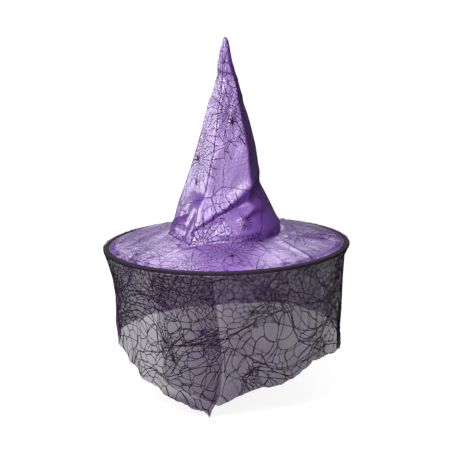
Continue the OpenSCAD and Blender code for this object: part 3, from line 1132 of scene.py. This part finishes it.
def crown_seam_stitches(wall, material):
    """Stitches up the back seam of the crown."""
    seam = wall[:, 0]
    made = []
    for z in np.linspace(seam[22, 2], seam[-14, 2], 29):
        ends = [np.array([np.interp(h, seam[:, 2], seam[:, 0]),
                          np.interp(h, seam[:, 2], seam[:, 1]), h])
                for h in (z - 2.8, z + 2.8)]
        made.append(stitch(*ends, (0, 1, 0.2), 0.35))
    return sew("crown_seam_thread", made, material)


def whip_stitches(name, radii, level, proud, material):
    """Short stitches across the seam at the head opening, from one radius to
    another on a layer of the brim, and a little proud of it: under the brim if
    proud is negative."""
    heights = brim_z(np.maximum(radii, OPEN_R), level) + proud
    made = [stitch(*round_the_hat(np.array(radii), bearing, heights),
                   (0, 0, math.copysign(1, proud)), 0.3)
            for bearing in range(0, 360, 10)]
    return sew(name, made, material)


def round_stitches(name, radius, level, out, up, material):
    """A ring of stitches that run around the hat and arch outwards or upwards."""
    length, count = 6.0, 84
    half = math.degrees(length / 2 / radius)
    made = []
    for i in range(count):
        bearing = 360 * i / count
        ends = round_the_hat(radius, bearing + np.array([-half, half]), level)
        made.append(stitch(*ends, round_the_hat(out, bearing, up), 0.35))
    return sew(name, made, material)


def seam_allowances(wall, material):
    """The edges of the crown's cloth, pressed open inside the back seam."""
    inside = offset_inward(wall, SATIN_T + 1.32)
    low, high, count = TOP_Z + 14, TOP_Z + 130, 9
    grids = []
    for side in (-1, 1):
        points = []
        for row in inside[4:-4]:
            if not low < row[0, 2] < high:
                continue
            r = np.hypot(row[:, 0], row[:, 1])
            b = np.degrees(np.arctan2(row[:, 0], -row[:, 1])) % 360
            order = np.argsort(b)
            at = 180 + np.degrees(side * np.linspace(0.3, 8.0, count) / r[0])
            radius = np.interp(at, b[order], r[order])
            z = np.interp(at, b[order], row[order, 2])
            lift = 0.25 * np.linspace(1, 0, count) ** 2
            points.append(round_the_hat(radius - lift, at, z))
        outer = np.array(points)
        inner = outer.copy()
        flat = np.hypot(outer[..., 0], outer[..., 1])[..., None]
        inner[..., :2] *= (flat - 0.55) / flat
        loop = np.concatenate([outer, inner[::-1]])
        faces = grid_faces(len(loop), count, True, False)[0]
        # Close the two long sides, between the outer and the inner face.
        caps = []
        for c in (0, count - 1):
            for i in range(len(outer) - 1):
                quad = [row * count + c for row in
                        (i, i + 1, len(loop) - 2 - i, len(loop) - 1 - i)]
                caps.append(quad if c else quad[::-1])
        faces = np.concatenate([faces, np.array(caps)])
        grids.append((loop.reshape(-1, 3), faces if side > 0 else faces[:, ::-1]))
    return make_mesh("seam_allowances", *join(grids), material)


def make_floor():
    """A plain pale floor, just below the lowest corner of the lace."""
    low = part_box("lace_veil")[0].z - 0.006
    span = 14.0
    points = np.array([(x * span, y * span, low)
                       for x, y in ((-1, -1), (1, -1), (1, 1), (-1, 1))]) / MM
    material = new_shader("floor").surface(
        Base_Color=(0.25, 0.25, 0.25), Roughness=0.9, Specular_IOR_Level=0.0,
        Emission_Color=(1, 1, 1), Emission_Strength=0.86)
    floor = make_mesh("floor", points, np.array([[0, 1, 2, 3]]), material)
    floor.visible_glossy = False
    floor.visible_diffuse = False


def place(obj, slot, *nodes):
    """Rides the hat's only body, and stands for the given CAD nodes."""
    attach(obj, "root")
    if nodes:
        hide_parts(*nodes)


make_camera()
make_world()
make_lights()
make_floor()

PURPLE = (0.145, 0.047, 0.31)
MATERIALS = {
    "crown": satin("crown_satin", PURPLE, 0.0013, (1.4, 0.7, 1)),
    "brim": satin("brim_satin", PURPLE, 0.0042, (0.4, 1, 1)),
    "interlining": felted("interlining", (0.72, 0.71, 0.69)),
    "lining": plain_weave("lining", (0.012, 0.011, 0.014), 0.0006),
    "binding": tape("binding", (0.012, 0.010, 0.014), 0.0012, "around"),
    "sweatband": tape("sweatband", (0.016, 0.015, 0.018), 0.0011, "up"),
    "steel": metal("hoop_steel", (0.55, 0.55, 0.57), 0.35),
    "ferrule": metal("ferrule_steel", (0.62, 0.60, 0.55), 0.45),
    "net": net("veil_net"),
    "lace": thread("lace_thread", (0.024, 0.014, 0.027), 0.0),
    "black": thread("black_thread", (0.010, 0.010, 0.012), 0.1),
    "purple": thread("purple_thread", (0.08, 0.03, 0.18), 0.3),
}

crown, crown_core, wall = make_crown(MATERIALS["crown"], MATERIALS["interlining"])
place(crown, "satin", "crown_outer")
place(crown_core, "interlining", "crown_interlining")
allowances = seam_allowances(wall, MATERIALS["crown"])
place(allowances, "satin")
place(crown_seam_stitches(wall, MATERIALS["purple"]), "thread_purple",
      "crown_seam_stitches")
place(whip_stitches("crown_base_thread", (CROWN_R - 0.3, CROWN_R + 2.2), TOP_Z, 0.1,
                    MATERIALS["purple"]), "thread_purple", "crown_base_stitches")

brim = brim_layer("brim_cloth", TOP_Z, SATIN_T, MATERIALS["brim"], 4)
place(brim, "satin", "brim_top")
brim_core = brim_layer("brim_stiffener", CORE_Z, CORE_Z - LINING_Z,
                       MATERIALS["interlining"], 12, 0.02)
place(brim_core, "interlining", "brim_interlining")
under = brim_layer("brim_underside", LINING_Z, LINING_Z, MATERIALS["lining"], 9, 0.6)
place(under, "lining", "brim_lining")
rim = make_binding(MATERIALS["binding"])
place(rim, "binding", "edge_binding")
band = make_head_band(MATERIALS["sweatband"])
place(band, "sweatband", "sweatband")
place(whip_stitches("band_thread", (OPEN_R - 0.7, OPEN_R + 2.6), 0, -0.05,
                    MATERIALS["black"]), "thread_black", "sweatband_stitches")
tape_seam_r = RIM_R - 7.8
place(round_stitches("binding_thread", tape_seam_r, brim_z(tape_seam_r, TOP_Z) + 1.4,
                     0, 1, MATERIALS["black"]), "thread_black", "binding_stitches")
place(round_stitches("veil_thread", RIM_R + 0.6, RIM_Z, 1, 0, MATERIALS["black"]),
      "thread_black", "veil_stitches")

veil = make_net(MATERIALS["net"])
webs, spiders = make_lace(MATERIALS["lace"])
place(veil, "lace", "lace_veil")
place(webs, "lace")
place(spiders, "lace")

for node, material in (("brim_hoop", "steel"), ("hoop_ferrule", "ferrule")):
    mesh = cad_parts[node].data
    mesh.materials.clear()
    mesh.materials.append(MATERIALS[material])
